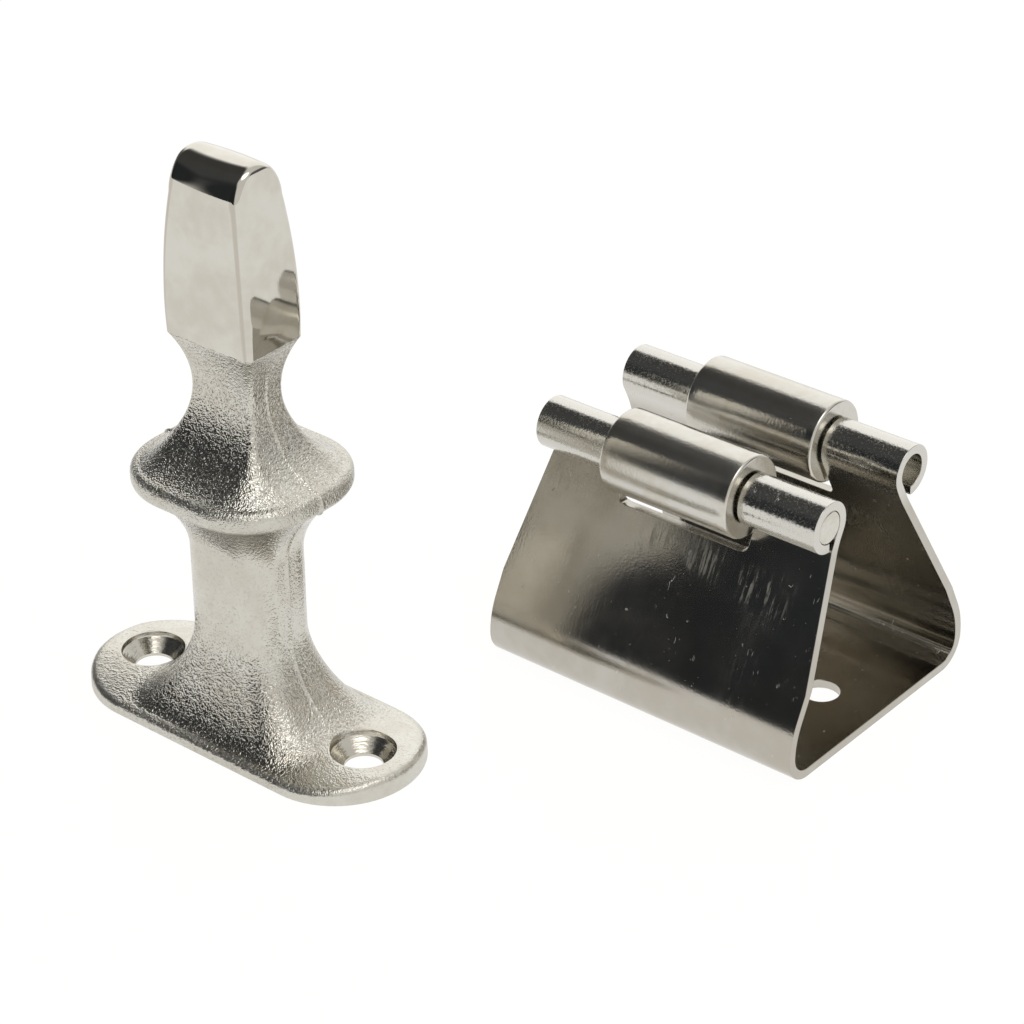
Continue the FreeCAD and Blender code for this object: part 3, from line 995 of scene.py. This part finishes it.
def spring_sheet(tree):
    """Bright rolled sheet: fine grain, cloudy gloss, slight hollows, die marks and scratches."""
    place = place_of(tree)
    tone = use_group(tree, TONE, Place=place, Patch=16.0, Light=LIGHT_SHEET, Warm=WARM_SHEET)
    lines = use_group(tree, LINES, Place=place, Across=(3.2, 0.1, 0.1))
    marks = use_group(tree, SCRATCHES, Place=place, Stretch=(1.5, 0.3, 0.3), Amount=0.62)["Mask"]
    cloud = noise(tree, place, 0.12, detail=3.0, roughness=0.55, distortion=0.4)
    parts = separate(tree, place)
    curl = ease(tree, parts["Z"], *CURL_HEIGHTS)
    below_curl = less(tree, 1.0, curl)
    struck = die_marks(tree, place, parts["X"], parts["Z"])
    satin = noise(tree, place, 3.6, detail=1.0)
    peppered = ramp(tree, noise(tree, place, 3.6, roughness=0.6), 0.48, 0.64)
    specks = ramp(tree, noise(tree, place, 1.5, detail=3.0, roughness=0.75), 0.68, 0.74)
    gloss = ramp(tree, cloud, 0.35, 0.7, *ROLLED_ROUGHNESS)
    gloss = times_plus(tree, times(tree, curl, peppered), CURL_ROUGHNESS, gloss)
    gloss = times_plus(tree, struck, STRUCK_ROUGHNESS, gloss)
    gloss = times_plus(tree, specks, SPECK_ROUGHNESS, gloss)
    roughness = times_plus(tree, marks, SCRATCH_ROUGHNESS, gloss)
    hollow = times(tree, noise(tree, place, 0.055, detail=1.0, roughness=0.4), HOLLOW_DEPTH)
    height = times_plus(tree, lines["Height"], times(tree, below_curl, LINE_DEPTH), hollow)
    grain = times_plus(tree, curl, SATIN_DEPTH, SATIN_DEPTH)
    height = times_plus(tree, satin, grain, height)
    height = times_plus(tree, marks, SHEET_SCRATCH_DEPTH, height)
    colour = mix_colour(tree, curl, tone["Colour"], TUBE_STEEL)
    colour = mix_colour(tree, times(tree, marks, 0.6), colour, PALE_SCRATCH)
    return colour, roughness, height, HUNDREDTH * MM


def sheared_edge(tree):
    """Cut edge of the sheet: a paler, duller wall with marks across its thickness."""
    place = place_of(tree)
    tone = use_group(tree, TONE, Place=place, Patch=4.0, Light=CUT_STEEL, Warm=WARM_STEEL)
    torn = noise(tree, place, 3.0, detail=3.0, roughness=0.6)
    return tone["Colour"], ramp(tree, torn, 0.3, 0.7, *SHEARED_ROUGHNESS), torn, 0.03 * MM


# Sleeve and rod: roughness along their streaks, and depths in units of the tool lines' depth
SLEEVE_ROUGHNESS = (0.14, 0.25)
ROD_ROUGHNESS = (0.12, 0.24)
SLEEVE_SCRATCH_ROUGHNESS = 0.15
TOOL_LINE = 0.012
STREAK_DEPTH = 0.7
SLEEVE_SATIN_DEPTH = 1.2
SLEEVE_SCRATCH_DEPTH = -0.8
RING_DEPTH = 0.5


def turned_steel(tree):
    """Sleeve cut from polished tube: faint streaks along it and turned rings on both faces.

    The rings follow the distance from the pin's axis.
    """
    place = place_of(tree)
    parts = separate(tree, place)
    up = less(tree, parts["Z"], PIN_HEIGHT)
    side = less(tree, size_of(tree, parts["Y"]), PIN_Y)
    rings = node(tree, "ShaderNodeTexNoise", noise_dimensions="1D")
    feed(tree, rings.inputs["W"], distance(tree, up, side))
    rings.inputs["Scale"].default_value = 5.0
    rings.inputs["Detail"].default_value = 4.0
    half = ROLLER_LENGTH / 2
    on_face = ramp(tree, size_of(tree, parts["X"]), half - 0.3, half - 0.2)
    streaks = use_group(tree, LINES, Place=place, Across=(0.12, 2.4, 2.4))
    satin = noise(tree, place, 2.8, detail=1.0)
    tone = use_group(tree, TONE, Place=place, Patch=7.0, Light=TUBE_STEEL, Warm=WARM_STEEL)
    marks = use_group(tree, SCRATCHES, Place=place, Stretch=(0.4, 1.3, 1.3), Amount=0.5)["Mask"]
    roughness = ramp(tree, streaks["Broad"], 0.3, 0.7, *SLEEVE_ROUGHNESS)
    roughness = times_plus(tree, marks, SLEEVE_SCRATCH_ROUGHNESS, roughness)
    height = times(tree, streaks["Height"], STREAK_DEPTH)
    height = times_plus(tree, marks, SLEEVE_SCRATCH_DEPTH, height)
    height = times_plus(tree, satin, SLEEVE_SATIN_DEPTH, height)
    face = times(tree, rings.outputs["Fac"], RING_DEPTH)
    height = times_plus(tree, on_face, less(tree, face, height), height)
    return tone["Colour"], roughness, height, TOOL_LINE * MM


def drawn_steel(tree):
    """Drawn rod: faint lines along its length, over broader bright and dull streaks."""
    place = place_of(tree)
    lines = use_group(tree, LINES, Place=place, Across=(0.15, 5.0, 5.0))
    tone = use_group(tree, TONE, Place=place, Patch=5.0, Light=LIGHT_STEEL, Warm=WARM_STEEL)
    roughness = ramp(tree, lines["Broad"], 0.35, 0.65, *ROD_ROUGHNESS)
    return tone["Colour"], roughness, lines["Height"], TOOL_LINE * MM


# ---- stage

CAMERA_PLACE = (218.92, -306.10, 245.76)
CAMERA_AZIMUTH = 39.963  # degrees from straight in front, towards +X
CAMERA_ELEVATION = 30.631
CAMERA_ROLL = -0.68
CAMERA_LENS = 115.14  # mm on a 36 mm sensor


def camera():
    """Axes from azimuth, elevation and roll: back points from the object to the camera."""
    a, e, r = (math.radians(v) for v in (CAMERA_AZIMUTH, CAMERA_ELEVATION, CAMERA_ROLL))
    back = np.array([math.sin(a) * math.cos(e), -math.cos(a) * math.cos(e), math.sin(e)])
    right = np.array([math.cos(a), math.sin(a), 0])
    up = np.cross(back, right)
    rolled_right = math.cos(r) * right + math.sin(r) * up
    rolled_up = math.cos(r) * up - math.sin(r) * right
    data = bpy.data.cameras.new("camera")
    data.sensor_width = 36.0
    data.lens = CAMERA_LENS
    data.clip_start = 0.01
    data.clip_end = 20.0
    made = bpy.data.objects.new("camera", data)
    place = np.array(CAMERA_PLACE) * MM
    made.matrix_world = Matrix([(rolled_right[i], rolled_up[i], back[i], place[i]) for i in range(3)]
                               + [(0, 0, 0, 1)])
    bpy.context.scene.collection.objects.link(made)
    bpy.context.scene.camera = made


FLOOR_HALF_M = 3.0
FLOOR_GLOW = 0.97
FLOOR_REFLECTS = (0.06, 0.06, 0.06, 1)
BACKDROP = (1.0, 1.0, 0.995, 1)  # what the camera sees past the floor


def floor():
    """Plain white sheet under the object that glows a little, as a lit table does."""
    half = FLOOR_HALF_M
    mesh = bpy.data.meshes.new("floor")
    corners = [(-half, -half, 0), (half, -half, 0), (half, half, 0), (-half, half, 0)]
    mesh.from_pydata(corners, [], [(0, 1, 2, 3)])
    made = bpy.data.objects.new("floor", mesh)
    bpy.context.scene.collection.objects.link(made)
    material = bpy.data.materials.new("lit_white_table")
    material.use_nodes = True
    shader = material.node_tree.nodes["Principled BSDF"]
    for key, value in (("Base Color", FLOOR_REFLECTS), ("Roughness", 0.9), ("Specular IOR Level", 0.0),
                       ("Emission Color", (1.0, 0.995, 0.985, 1)), ("Emission Strength", FLOOR_GLOW)):
        shader.inputs[key].default_value = value
    mesh.materials.append(material)


# Soft light patches of the room: direction, inner and outer angle in degrees, brightness, colour
ROOM = 0.8, (1.0, 0.99, 0.965)
PATCHES = [
    ((-0.50, 0.76, 0.42), 26, 42, 1.35, (1.0, 0.995, 0.98)),
    ((-0.62, -0.30, 0.72), 26, 43, 0.065, (1.0, 1.02, 1.04)),
    ((-0.55, 0.08, 0.83), 9, 21, 0.06, (1.0, 1.0, 1.0)),
    ((-0.85, -0.50, 0.20), 12, 20, 0.03, (0.9, 1.0, 1.1)),
    ((-0.25, -0.96, 0.25), 22, 37, 0.03, (0.9, 1.0, 1.12)),
    ((-0.97, 0.12, 0.15), 12, 25, 0.12, (1.0, 1.0, 1.0)),
    ((0.72, 0.66, 0.16), 9, 24, 0.12, (1.0, 1.0, 1.0)),
    ((0.28, -0.17, 0.94), 12, 24, 2.6, (1.0, 0.99, 0.97)),
]


def room_light():
    """World light: one pale tone with soft round patches mixed in by their angle from a direction."""
    world = bpy.data.worlds.new("room")
    bpy.context.scene.world = world
    world.use_nodes = True
    tree = world.node_tree
    tree.nodes.clear()
    heading = node(tree, "ShaderNodeTexCoord").outputs["Generated"]
    strength, tint = ROOM
    colour = [c * strength for c in tint] + [1]
    for direction, inner, outer, level, patch_tint in PATCHES:
        unit = np.array(direction) / np.linalg.norm(direction)
        dot = node(tree, "ShaderNodeVectorMath", operation="DOT_PRODUCT")
        feed(tree, dot.inputs[0], heading)
        dot.inputs[1].default_value = unit
        share = ease(tree, dot.outputs["Value"], math.cos(math.radians(outer)),
                             math.cos(math.radians(inner)))
        colour = mix_colour(tree, share, colour, [c * level for c in patch_tint] + [1])
    seen = node(tree, "ShaderNodeLightPath").outputs["Is Camera Ray"]
    colour = mix_colour(tree, seen, colour, BACKDROP)
    background = node(tree, "ShaderNodeBackground")
    feed(tree, background.inputs["Color"], colour)
    out = node(tree, "ShaderNodeOutputWorld")
    tree.links.new(background.outputs[0], out.inputs["Surface"])


def stage():
    """Camera, floor and light, shown without any film look."""
    camera()
    floor()
    room_light()
    settings = bpy.context.scene.view_settings
    settings.view_transform = "Standard"
    settings.look = "None"


def dress(piece, *materials):
    """Gives the piece its materials, in the order of its faces' material numbers."""
    piece.data.materials.clear()
    for material in materials:
        piece.data.materials.append(material)


stage()
casting = strike_casting()
sheets = clip_sheets()
pins = [pin("front_pin_rod", -1), pin("rear_pin_rod", 1)]
rollers = [roller("front_roller", -1), roller("rear_roller", 1)]

for pieces, finishes in (
        ([casting], {"cast_steel_tumbled_and_buffed": cast_steel}),
        (sheets, {"spring_sheet_bright_rolled": spring_sheet, "spring_sheet_sheared_edge": sheared_edge}),
        (pins, {"pin_steel_drawn": drawn_steel}),
        (rollers, {"roller_steel_turned": turned_steel})):
    materials = [steel(name, build) for name, build in finishes.items()]
    for piece in pieces:
        dress(piece, *materials)
